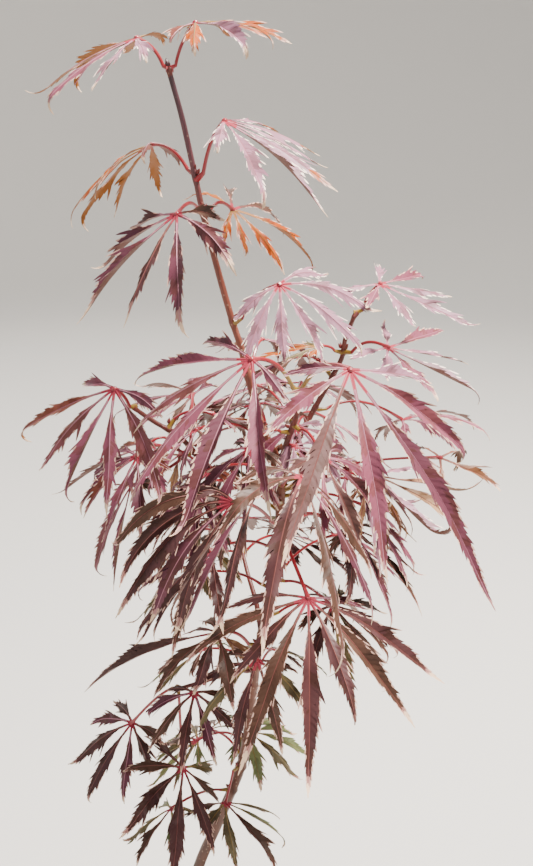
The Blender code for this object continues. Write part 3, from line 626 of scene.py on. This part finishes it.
def growLobe(heap, line, length, look, plainTint, chance):
    s = lobeShape
    spread = s["foldSpread"]
    fold = chance.choice(s["folds"]) + chance.uniform(-spread, spread)
    ripple, waves = chance.uniform(*s["ripple"]), chance.uniform(*s["waves"])
    phases = [chance.uniform(0, 2 * pi) for _ in range(2)]
    paleFrom = 1 - look["pale"] + chance.uniform(*s["paleShift"])
    creamFrom = paleFrom + look["pale"] * chance.uniform(*s["creamFrom"])
    rows = toothRows(length, look["slim"], look["jag"], chance)
    rings = []
    for share, full, edges in rows:
        steep = fold * min(1, full / s["foldFull"])
        half = []
        for hand, (reach, push, vein, _) in enumerate(edges):
            rib = min((s["rib"] + s["ribFoot"] * (1 - share) ** 3) * mm, s["ribMost"] * reach)
            rim = s["rim"] * (s["pointRim"] if vein > 0.5 else s["notchRim"])
            rim = min(rim, s["rimMost"] * reach)
            wave = sin(2 * pi * waves * share + phases[hand])
            columns = []
            for across in (reach, reach - rim, rib + (reach - rib) * s["middle"], rib):
                out = across / reach
                lift = steep * (across - rib)
                lift += (vein * min(s["quilt"], s["quiltMost"] * reach)
                         * sin(pi * min(out, s["quiltEnd"]) ** s["quiltPower"]))
                lift += ripple * full * wave * min(across / full, s["waveEdge"]) ** 2
                lean = s["slant"] * across / length + push * smoothStep(s["pushFrom"], 1, out)
                columns.append((share + lean, across, lift))
            half.append(columns)
        thin = min(s["thickness"], s["thinMost"] * min(edges[0][0], edges[1][0]))
        left, right = half[0], [(along, -across, lift) for along, across, lift in half[1]]
        ribTop = (share, 0, s["ribTop"] * (1 - s["ribFall"] * share))
        under = [(along, across, lift - thin) for along, across, lift in (right[2], left[2])]
        under.insert(1, (share, 0, -(thin + s["ribUnder"] * (1 - share))))
        rings.append([line.at(*spot) for spot in left + [ribTop] + right[::-1] + under])

    patches = chance.uniform(*s["patches"])
    turning = chance.uniform(*s["sunsetTurn"]) if plainTint == "sunset" else 2

    def finishOf(row, corner):  # corners 0 to 7 run over the top from edge to edge
        share, _, edges = rows[row]
        tint = sunsetEnds[share > turning] if turning < 1 else plainTint
        end = share + s["endShift"] * noise.noise(rings[row][corner] * s["endGrain"])
        if end > creamFrom:
            return "tipCream"
        if corner > 7:
            return undersides.get(tint, "underDusky") if share > s["pinkUnder"] else "ribPink"
        if share < s["pinkTop"] and tint not in driedTints:
            return "ribPink"
        if corner in (3, 4):
            return ribs.get(tint, "ribRose")
        if corner in (0, 7):
            # whiter tooth points on lilac lobes: pale tips with a painted highlight on them
            pointed = "toothWhite" if tint == "lilac" else "toothPale"
            return pointed if edges[corner > 3][3] or share > paleFrom else tint
        if end > paleFrom:
            return "tipPale"
        blotch = noise.noise(rings[row][corner] * s["patchGrain"])
        return tint + "Shade" if blotch > patches else tint

    heap.ringTube(rings, finishOf, tip=line.at(1, 0, 0))


stalkShape = dict(
    radius=0.5 * mm, perLength=0.0058, sides=8, steps=16, sunk=1.3 * mm, start=3, bendAt=0.42,
    footSwell=0.85 * mm, footReach=0.09, hubSwell=0.45 * mm, hubReach=0.07, pinkFrom=0.86,
    hubRadius=1.5 * mm, hubDepth=1.2 * mm, hubLevels=(-1, -0.6, 0, 0.6, 1),
    hubWidths=(0.45, 0.85, 1, 0.85, 0.45),
)


def growStalk(foot, outward, hub, look):
    s = stalkShape
    thick = s["radius"] + s["perLength"] * max(look["lengths"])
    first = foot + outward * s["start"] * mm
    bend = foot.lerp(hub, s["bendAt"]) + up * look["arch"]
    path = [foot - outward * s["sunk"], foot]
    for step in range(1, s["steps"] + 1):
        t = step / s["steps"]
        path.append(first * (1 - t) ** 2 + bend * 2 * t * (1 - t) + hub * t ** 2)
    shares = [index / (len(path) - 1) for index in range(len(path))]
    radii = [thick + s["footSwell"] * exp(-(share / s["footReach"]) ** 2)
             + s["hubSwell"] * exp(-((1 - share) / s["hubReach"]) ** 2) for share in shares]

    def finishOf(row, corner):
        if shares[row] < look["olive"]:
            return "stalkOlive"
        return "stalkPink" if shares[row] > s["pinkFrom"] else "stalkRed"

    stalks.ringTube(roundRings(path, radii, s["sides"]), finishOf)


lobeSpread = dict(droop=(0.92, 1.08), curls=(-70, -25, 0, 20, 45, 100), curlSpread=(-15, 15),
                  sway=(0.03, 0.16), swayWaves=(5, 9), swayPhase=(0, 6.28))
driedMore = dict(curl=1.6, twist=4, sway=3, early=0.7)  # what a wholly dried leaf adds

stalks, twigs, buds = Heap("leaf_stalks"), Heap("leaf_twigs"), Heap("axil_buds")
feet = []  # where stalks leave the bark, for their buds


def growLeaf(blades, name, foot, outward, shape):
    chance = random.Random(name)
    hub = foot + level(shape["bearing"]) * shape["reach"] + up * shape["rise"]
    growStalk(foot, outward, hub, shape)
    ahead, left = bladeAxes(shape)
    flat, stalk = ahead.cross(left), stalkShape
    stalks.plainTube([hub + flat * stalk["hubDepth"] * height for height in stalk["hubLevels"]],
                     [stalk["hubRadius"] * width for width in stalk["hubWidths"]],
                     stalk["sides"], "stalkPink")
    spread, more, dried = lobeSpread, driedMore, shape["crumple"]
    for number, (length, tint) in enumerate(zip(shape["lengths"], shape["tints"])):
        angle = (number / (len(shape["lengths"]) - 1) - 0.5) * shape["spread"]
        droop = shape["droop"] * chance.uniform(*spread["droop"])
        bow, twist = (chance.uniform(-leafShape[key], leafShape[key]) for key in ("bow", "twist"))
        if length == 0:
            continue
        own = random.Random(f"{name}_{number}_blade")
        curl = radians(own.choice(spread["curls"]) + own.uniform(*spread["curlSpread"]))
        curl, twist = curl * (1 + more["curl"] * dried), twist * (1 + more["twist"] * dried)
        sway = (own.uniform(*spread["sway"]) * (1 + more["sway"] * dried),
                own.uniform(*spread["swayWaves"]), own.uniform(*spread["swayPhase"]))
        line = LobeLine(hub, ahead, left, angle, length, droop, bow, twist, curl,
                        leafShape["curlFrom"] * (1 - more["early"] * dried), sway)
        growLobe(blades, line, length, shape, tintNames[tint], own)


twigShape = dict(sides=12, sunk=1, start=1.5, end=0.2, widths=(1.0, 1.05, 1.15, 1.3, 0.7),
                 stalkIn=0.5)


def growTwig(limb, bearing, reach, rise):  # on the limb's end; gives its fork back
    s = twigShape
    head = limb.heads[-1]
    start = limb.path[-1] + head * clearance
    fork = start + level(radians(bearing)) * (reach * mm) + up * (rise * mm)
    path = [start - head * s["sunk"] * mm, start, start + head * s["start"] * mm, fork,
            fork + (fork - start) * s["end"]]
    radii = [limb.radii[-1] * width for width in s["widths"]]
    twigs.plainTube(path, radii, s["sides"], "twigBark")
    return fork


sunsetEnds = ("lilac", "amber")  # a sunset lobe turns from one to the other; its orange far end is partly the leaf's own colour, partly painted sunlight shining through it
driedTints = ("withered", "dried", "amber")
undersides = dict(amber="underAmber", brick="underAmber", olive="underGreen", green="underGreen",
                  withered="witheredShade", dried="driedShade")
ribs = dict(plum="ribDusk", bronze="ribDusk", heather="ribDusk", olive="ribStraw",
            green="ribStraw", amber="ribStraw", withered="ribDusk", dried="ribDusk")
leafFinish = dict(Roughness=0.48, Specular_IOR_Level=0.2)
stalkFinish = dict(Roughness=0.32, Coat_Weight=0.2, Coat_Roughness=0.25)
leafColours = {  # blade, and the darker blotches on it
    # lilac, paler, on the sunny upper right leaves: partly their own colour, partly painted sunlight
    # and sky glare
    "rose": ((118, 62, 78), (105, 54, 60)), "lilac": ((144, 102, 119), (116, 80, 90)),
    "mauve": ((88, 46, 58), (77, 40, 42)), "heather": ((94, 66, 64), (82, 57, 53)),
    # plum, bronze and olive, on the inner and lower leaves: their own colours darkened a little as
    # painted shade
    "russet": ((112, 62, 66), (97, 53, 51)), "plum": ((70, 41, 42), (61, 36, 32)),
    "bronze": ((74, 50, 40), (64, 43, 34)), "olive": ((90, 80, 54), (78, 67, 47)),
    # orange-brown blades: partly the leaf's own colour, partly painted sunlight shining through the
    # leaf
    "green": ((110, 118, 76), (95, 102, 65)), "amber": ((146, 62, 0), (118, 47, 0)),
    "brick": ((112, 56, 42), (97, 46, 37)), "withered": ((150, 114, 84), (124, 88, 62)),
    "dried": ((104, 66, 42), (84, 52, 34)),
}
leafTrims = {
    "ribPink": (144, 46, 62), "ribRose": (160, 106, 120), "ribDusk": (112, 66, 62),
    # whiter tooth points: pale tips brightened by a painted highlight
    "ribStraw": (130, 104, 58), "toothPale": (192, 154, 138), "toothWhite": (230, 210, 196),
    "tipPale": (158, 116, 108), "tipCream": (208, 178, 150), "underDusky": (112, 78, 70),
    # orange undersides of the orange-brown and brick lobes: partly their own colour, partly painted
    # sunlight shining through
    "underGreen": (98, 98, 64), "underAmber": (142, 88, 38),
}
stalkColours = {"stalkRed": (138, 26, 36), "stalkPink": (146, 44, 54),
                "stalkOlive": (136, 104, 34), "scaleBrown": (104, 58, 40),
                "tipPlum": (58, 30, 38)}
grains = {  # fine relief: noise scale, depth in metres, strength
    "leaf": (1400, 0.00012, 0.35), "bark": (900, 0.0004, 0.5), "bud": (1200, 0.0003, 0.5),
    "pot": (1500, 0.0002, 0.25), "soil": (700, 0.0012, 0.9), "chip": (900, 0.0004, 0.7),
}


def grainPaint(name, colour, grain, stretch=(1, 1, 1), **finish):  # also gives places for nodes
    scale, depth, strength = grains[grain]
    material, shader = makePaint(name, colour, **finish)
    place = addNode(material, "TexCoord")
    drawn = addNode(material, "Mapping", Scale=stretch, Vector=place)
    cloud = addNode(material, "TexNoise", Scale=scale, Detail=3, Vector=drawn)
    bump = addNode(material, "Bump", Strength=strength, Distance=depth, Height=cloud)
    feed(shader, dict(Normal=bump))
    return material, shader, place, drawn


def leafPaints():
    colours = dict(leafTrims)
    for name, (blade, shade) in leafColours.items():
        colours[name], colours[name + "Shade"] = blade, shade
    paints = {name: grainPaint(name, colour, "leaf", **leafFinish)[0]
              for name, colour in colours.items()}
    for name, colour in stalkColours.items():
        paints[name], _ = makePaint(name, colour, **stalkFinish)
    return paints


# bark
barkColours = dict(shoot=(98, 42, 36), fleck=(170, 142, 118), bud=(110, 40, 38))
# stem colours by height: the bark's own, darkened as painted shade of the crown, the lower stem most
stemColours = ((0.155, (72, 57, 45)), (0.30, (84, 50, 37)), (0.52, (116, 62, 42)),
               (0.69, (118, 60, 48)), (0.73, (88, 47, 54)), (0.768, (60, 34, 42)))  # height, colour
barkFinish = dict(
    roughness=0.5, stretch=(1, 1, 0.3), streakScale=260, fleckScale=320, stemFlecks=0.5,
    twigFlecks=0.25, budRoughness=0.4, fleck=dict(From_Min=0.22, From_Max=0.1),
    tone=dict(From_Min=0.3, From_Max=0.7, To_Min=0.72, To_Max=1.25),
)
colourMix = dict(data_type="RGBA")


def colourRamp(material, stops, share):
    output = addNode(material, "ValToRGB", Fac=share)
    elements = output.node.color_ramp.elements
    for index, (place, colour) in enumerate(stops):
        stop = elements[index] if index < 2 else elements.new(place)
        stop.position, stop.color = place, linear(colour)
    return output


def barkPaint(name, stops, flecks):  # stops are heights in metres with their colours
    look = barkFinish
    material, shader, place, drawn = grainPaint(name, stops[0][1], "bark", look["stretch"],
                                                Roughness=look["roughness"])
    low, high = stops[0][0], stops[-1][0]
    height = addNode(material, "SeparateXYZ", Vector=place)
    share = addNode(material, "MapRange", From_Min=low, From_Max=high, Value=height)
    ramp = colourRamp(material, [((at - low) / (high - low), colour) for at, colour in stops], share)
    streak = addNode(material, "TexNoise", Scale=look["streakScale"], Vector=drawn)
    tone = addNode(material, "MapRange", Value=streak, **look["tone"])
    shade = addNode(material, "Mix", dict(colourMix, blend_type="MULTIPLY"), Factor=1, A=ramp, B=tone)
    cells = addNode(material, "TexVoronoi", Scale=look["fleckScale"], Vector=place)
    spots = addNode(material, "MapRange", To_Max=flecks, Value=cells, **look["fleck"])
    flecked = addNode(material, "Mix", colourMix, Factor=spots, A=shade,
                      B=linear(barkColours["fleck"]))
    feed(shader, dict(Base_Color=flecked))
    return material


barkShape = dict(
    waves=((2.2, 45), (5, 130)),          # streaks and cracks: how close round the limb and along
    streak=0.06, crack=0.08, crackFull=5 * mm, sharp=60,
    joint=0.20, jointReach=1.8, groove=0.06, grooveAt=3.1, grooveReach=0.5,   # lengths in mm
)


def barkTube(name, path, radii, sides, joints, paint, relief=None):  # with node rings and streaks
    s = barkShape

    def barkRelief(angle, index):
        place = path[index]
        streak, crack = (noise.noise(Vector((cos(angle) * across, sin(angle) * across,
                                             place.z * along))) for across, along in s["waves"])
        thick = min(radii[index] / s["crackFull"], 1)
        scale = 1 + s["streak"] * streak + s["crack"] * crack * thick
        for joint in joints:
            away = (place - joint).length / mm
            dip = (away - s["grooveAt"]) / s["grooveReach"]
            scale += s["joint"] * exp(-(away / s["jointReach"]) ** 2) - s["groove"] * exp(-dip ** 2)
        return scale * (relief(angle, place.z) if relief else 1)

    heap = Heap(name)
    heap.plainTube(path, radii, sides, "bark", barkRelief)
    return heap.build({"bark": paint}, sharp=s["sharp"])


def stemBark(stem, paint):
    s = stemShape
    path = smoothPath([Vector(place) * mm for place in s["axis"]], s["barkStep"])
    path.insert(0, path[0] + down * s["sunk"] * mm)
    radii = [stemRadius(max(place.z, soilLevel)) for place in path]
    graftAt = soilLevel + s["graftHeight"]

    def rootAndGraft(angle, height):
        fade = exp(-max(height - soilLevel, 0) / s["flareHeight"])
        slope = s["scarSlope"] * cos(angle + s["scarTurn"])
        scar = (height - graftAt - slope) / s["scarWidth"]
        return (1 + s["rootRidge"] * fade * cos(s["rootLobes"] * angle)
                + s["scarRise"] * exp(-scar ** 2))

    return barkTube("stem_bark", path, radii, s["barkSides"], stem.joints, paint, rootAndGraft)


budShape = dict(length=3.4 * mm, radius=1.0 * mm, lean=0.75, above=2.3 * mm, sunk=0.7, sides=8,
                shares=(0, 0.15, 0.35, 0.6, 0.82, 1), widths=(0.5, 0.92, 1.0, 0.72, 0.36),
                backSize=0.8, scaleHeight=569 * mm, scaleSize=1.4,
                scaleBearings=(20, 75, 150, 205, 262, 310, 345),
                tipOffset=(-1, 1, 0.5), tipLean=(-0.4, 0.4, 0), tipSize=1.3)


def growBud(foot, outward, size=1.0, finish="budRed"):
    s = budShape
    head = (up + outward * s["lean"]).normalized()
    start = foot + up * s["above"] * size - outward * s["sunk"] * mm
    *path, tip = [start + head * s["length"] * size * share for share in s["shares"]]
    radii = [s["radius"] * size * width for width in s["widths"]]
    buds.plainTube(path, radii, s["sides"], finish, tip=tip)


# pot and potting mix
potShape = dict(height=170 * mm, baseRadius=69 * mm, topRadius=91 * mm, wall=2.4 * mm, floor=3 * mm,
                rimDepth=17 * mm, rimStep=3 * mm, round=1.2 * mm, segments=144, sharp=35,
                drainHoles=6, drainRadius=5 * mm, drainRing=50 * mm, drainSides=24,
                bandHeight=58 * mm, bandDepth=0.7 * mm)
potFinish = dict(
    colour=(13, 13, 14), dust=(66, 59, 51), shine=0.22,
    cloud=dict(Scale=22, Detail=6), low=dict(From_Min=0.1, From_Max=0.0, To_Min=0.0, To_Max=0.22),
    share=dict(From_Min=0.5, From_Max=0.95, To_Max=0.4), rough=dict(To_Min=0.36, To_Max=0.7),
)


def potRadius(height):
    low, high = potShape["baseRadius"], potShape["topRadius"]
    return low + (high - low) * height / potShape["height"]


def arcPoints(x, z, radius, start, end, steps=5):
    turns = [radians(start + (end - start) * step / steps) for step in range(steps + 1)]
    return [(x + radius * cos(t), z + radius * sin(t)) for t in turns]


def potPaint():  # black moulded plastic, dusty towards the foot
    look = potFinish
    material, shader, place, _ = grainPaint("potPlastic", look["colour"], "pot",
                                            Specular_IOR_Level=look["shine"])
    cloud = addNode(material, "TexNoise", Vector=place, **look["cloud"])
    height = addNode(material, "SeparateXYZ", Vector=place)
    low = addNode(material, "MapRange", Value=height, **look["low"])
    total = addNode(material, "Math")
    feed(total.node, {0: cloud, 1: low})
    share = addNode(material, "MapRange", Value=total, **look["share"])
    rough = addNode(material, "MapRange", Value=share, **look["rough"])
    blend = addNode(material, "Mix", colourMix, Factor=share, A=linear(look["colour"]),
                    B=linear(look["dust"]))
    feed(shader, dict(Base_Color=blend, Roughness=rough))
    return material


def makePot():
    s = potShape
    small, band, height = s["round"], s["bandHeight"], s["height"]
    foot = height - s["rimDepth"]
    lip = s["topRadius"] + s["rimStep"]
    inner = s["topRadius"] - s["wall"]
    profile = [(0, 0)]
    profile += arcPoints(s["baseRadius"] - 2 * small, 2 * small, 2 * small, -90, -7)
    profile += [(potRadius(band), band), (potRadius(band) + s["bandDepth"], band + small)]
    profile += [(potRadius(foot - 2 * small) + s["bandDepth"], foot - 2 * small)]
    profile += arcPoints(potRadius(foot) + 2 * small, foot - small, small, 180, 90, 3)
    profile += arcPoints(lip - small, foot + small, small, -90, 0, 3)
    profile += arcPoints(lip - small, height - small, small, 0, 90, 4)
    profile += arcPoints(inner + small, height - small, small, 90, 180, 4)
    profile += [(potRadius(s["floor"]) - s["wall"], s["floor"]), (0, s["floor"])]
    pot = meshObject("nursery_pot", turned(profile, s["segments"]), [potPaint()], s["sharp"])
    drill = bmesh.new()
    for hole in range(s["drainHoles"]):
        spot = level(2 * pi * hole / s["drainHoles"]) * s["drainRing"]
        bmesh.ops.create_cone(drill, cap_ends=True, segments=s["drainSides"],
                              radius1=s["drainRadius"], radius2=s["drainRadius"],
                              depth=4 * s["floor"], matrix=Matrix.Translation(spot))
    cutter = meshObject("drain_cutter", drill, [])
    cut = pot.modifiers.new("drain_holes", "BOOLEAN")
    cut.operation, cut.solver, cut.object = "DIFFERENCE", "EXACT", cutter
    ready = pot.evaluated_get(bpy.context.evaluated_depsgraph_get())
    holed = bpy.data.meshes.new_from_object(ready)
    pot.modifiers.clear()
    pot.data = holed
    bpy.data.objects.remove(cutter, do_unlink=True)
    return pot


mixShape = dict(rings=34, segments=120, foot=3.4 * mm, inset=2.9 * mm, lumps=2.6 * mm,
                lumpGrains=((0.3, 90, 0.7), (0.7, 260, 0.4)),  # layer, noise scale, share
                mound=3.0 * mm, moundReach=22 * mm)
mixRoughness = dict(soil=0.95, chip=0.9, prill=0.4)
soilColours = dict(base=(46, 34, 26), scale=340, stops=((0.35, (34, 25, 19)), (0.6, (46, 34, 26)),
                                                        (0.75, (88, 64, 46))))
chipColours = {"chipDark": (62, 42, 30), "chipMiddle": (96, 64, 42), "chipLight": (118, 86, 60),
               "perliteWhite": (214, 210, 200), "prillGold": (178, 158, 96)}
crumbKinds = (  # how many, finishes, lengths in mm, sides, thickness as a share of the length
    (1250, ("chipDark", "chipMiddle", "chipLight", "chipDark"), (3, 13), 6, (0.14, 0.3)),
    (110, ("perliteWhite",), (1.5, 4), 6, (0.4, 0.6)),
    (46, ("prillGold",), (2.4, 3.2), 8, (0.42, 0.48)),
)
crumbShape = dict(edge=2 * mm, tilt=(-0.5, 0.5), sunk=(0.1, 0.7), nearEdge=1.5 * mm, spare=0.35,
                  shortest=0.3, shares=(-0.5, -0.3, 0.3, 0.5), widths=(0.55, 1.0, 0.95, 0.5),
                  rough=(0.7, 1.25), sharp=30)


def mixHeight(x, y):
    s = mixShape
    lump = sum(noise.noise(Vector((x, y, layer)) * scale) * share
               for layer, scale, share in s["lumpGrains"])
    stemFoot = Vector(stemShape["axis"][0][:2]) * mm
    near = (Vector((x, y)) - stemFoot).length / s["moundReach"]
    return soilLevel + s["lumps"] * lump + s["mound"] * exp(-near ** 2)


def soilPaint():
    look = soilColours
    material, shader, place, _ = grainPaint("pottingSoil", look["base"], "soil",
                                            Roughness=mixRoughness["soil"])
    crumbs = addNode(material, "TexNoise", Scale=look["scale"], Vector=place)
    feed(shader, dict(Base_Color=colourRamp(material, look["stops"], crumbs)))
    return material


def makeMix():
    s = mixShape
    wall = potRadius(soilLevel) - s["inset"]
    profile = [(wall * ring / s["rings"], soilLevel) for ring in range(s["rings"] + 1)]
    profile += [(potRadius(s["foot"]) - s["inset"], s["foot"]), (0, s["foot"])]
    bm = turned(profile, s["segments"])
    for vert in bm.verts:
        if vert.co.z > soilLevel - mm:
            vert.co.z = mixHeight(vert.co.x, vert.co.y)
    return meshObject("potting_mix_bed", bm, [soilPaint()], sharp=180)


def growCrumbs(heap, chance, count, finishes, sizes, sides, flat):
    s = crumbShape
    edge = potRadius(soilLevel) - mixShape["inset"] - s["edge"]
    for _ in range(count):
        turn, out = chance.uniform(0, 2 * pi), edge * sqrt(chance.random())
        x, y = out * cos(turn), out * sin(turn)
        length = chance.uniform(*sizes) * mm
        thick = length * chance.uniform(*flat)
        heading = chance.uniform(0, 2 * pi)
        head = Vector((cos(heading), sin(heading), chance.uniform(*s["tilt"])))
        head.normalize()
        spot = Vector((x, y, mixHeight(x, y) + thick * chance.uniform(*s["sunk"])))
        room = (edge + s["nearEdge"] - out) / (length * 0.5 + mm) + s["spare"]
        length *= max(min(1, room), s["shortest"])
        path = [spot + head * length * share for share in s["shares"]]
        rough = [[chance.uniform(*s["rough"]) for _ in range(sides)] for _ in path]
        heap.plainTube(path, [thick * width for width in s["widths"]], sides,
                       chance.choice(finishes), lambda angle, index:
                       rough[index][int(angle / 2 / pi * sides + 0.5) % sides])


def chipPaints():
    paints = {}
    for name, colour in chipColours.items():
        rough = mixRoughness["prill" if name == "prillGold" else "chip"]
        paints[name], *_ = grainPaint(name, colour, "chip", Roughness=rough)
    return paints


def settle(piece, slot, *replaced):  # rides on the root body and hides the solids it stands for; slot is not used
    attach(piece, "root")
    if replaced:
        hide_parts(*replaced)


def growBuds(stem):
    s = budShape
    for foot, outward in feet:
        growBud(foot, outward)
        growBud(foot - outward * 2 * stemRadius(foot.z), -outward, s["backSize"])
    for bearing in s["scaleBearings"]:
        spot = stem.spotAtHeight(s["scaleHeight"] + bearing % 7 * mm)
        growBud(*stem.foot(spot, radians(bearing)), s["scaleSize"], "scaleBrown")
    tip = stem.path[-1] + Vector(s["tipOffset"]) * mm
    growBud(tip, Vector(s["tipLean"]), s["tipSize"], "tipPlum")


def growRegion(blades, limbs, masses, inner):
    def limbAt(place):
        if not isinstance(place, tuple):
            return limbs["stem"], limbs["stem"].spotAtHeight(place * mm)
        limb = limbs[place[0]]
        return limb, place[1] * (len(limb.path) - 1)

    def grow(name, limb, spot, shape, fork=None):
        if fork:
            outward = level(shape["bearing"])
            foot = fork - outward * twigShape["stalkIn"] * mm
        else:
            foot, outward = limb.foot(spot, shape["bearing"])
            feet.append((foot, outward))
        growLeaf(blades, name, foot, outward, shape)

    for mass, (place, *leaves) in masses.items():
        limb, spot = limbAt(place)
        fork = growTwig(limb, *leaves.pop(0)) if isinstance(leaves[0], tuple) else None
        for number, shape in enumerate(leaves):
            grow(f"{mass}_{number}", limb, spot, shape, fork)
    for number, (place, shape) in enumerate(inner):
        grow(f"{blades.name}_inner_{number}", *limbAt(place), shape)


def dressPlant():
    paints, stem = leafPaints(), growStem()
    limbs = {name: Limb(*shootPath(name, stem, shootShape["step"])) for name in shoots}
    limbs["stem"] = stem
    for name, (slot, masses, inner) in crown.items():
        blades = Heap(name)
        growRegion(blades, limbs, masses, inner)
        settle(blades.build(paints, sharp=50), slot, *masses)
    print("leaves grown")
    growBuds(stem)
    plain, look = barkColours["shoot"], barkFinish
    paints["twigBark"] = barkPaint("twigBark", ((0, plain), (1, plain)), look["twigFlecks"])
    paints["budRed"], *_ = grainPaint("budRed", barkColours["bud"], "bud",
                                      Roughness=look["budRoughness"])
    for heap in (stalks, twigs, buds):
        settle(heap.build(paints), "bark")
    settle(stemBark(stem, barkPaint("stemBark", stemColours, look["stemFlecks"])), "bark", "stem")
    s = shootShape
    for name in shoots:
        path, radii = shootPath(name, stem, s["barkStep"])
        path[0] = path[0] - (path[1] - path[0]).normalized() * s["sunk"] * mm
        radii[0] *= s["footSwell"]
        piece = barkTube(name + "_bark", path, radii, s["barkSides"], limbs[name].joints,
                         paints["twigBark"])
        settle(piece, "bark", name)
    print("bark, twigs and buds made")


def dressPot():
    settle(makePot(), "pot_plastic", "pot")
    settle(makeMix(), "potting_mix", "potting_mix")
    crumbs = Heap("bark_chips")
    chance = random.Random("potting mix")
    for kind in crumbKinds:
        growCrumbs(crumbs, chance, *kind)
    settle(crumbs.build(chipPaints(), crumbShape["sharp"]), "potting_mix", "potting_mix")
    print("pot and potting mix made")


makeCamera()
makeStage()
makeLights()
dressPlant()
dressPot()
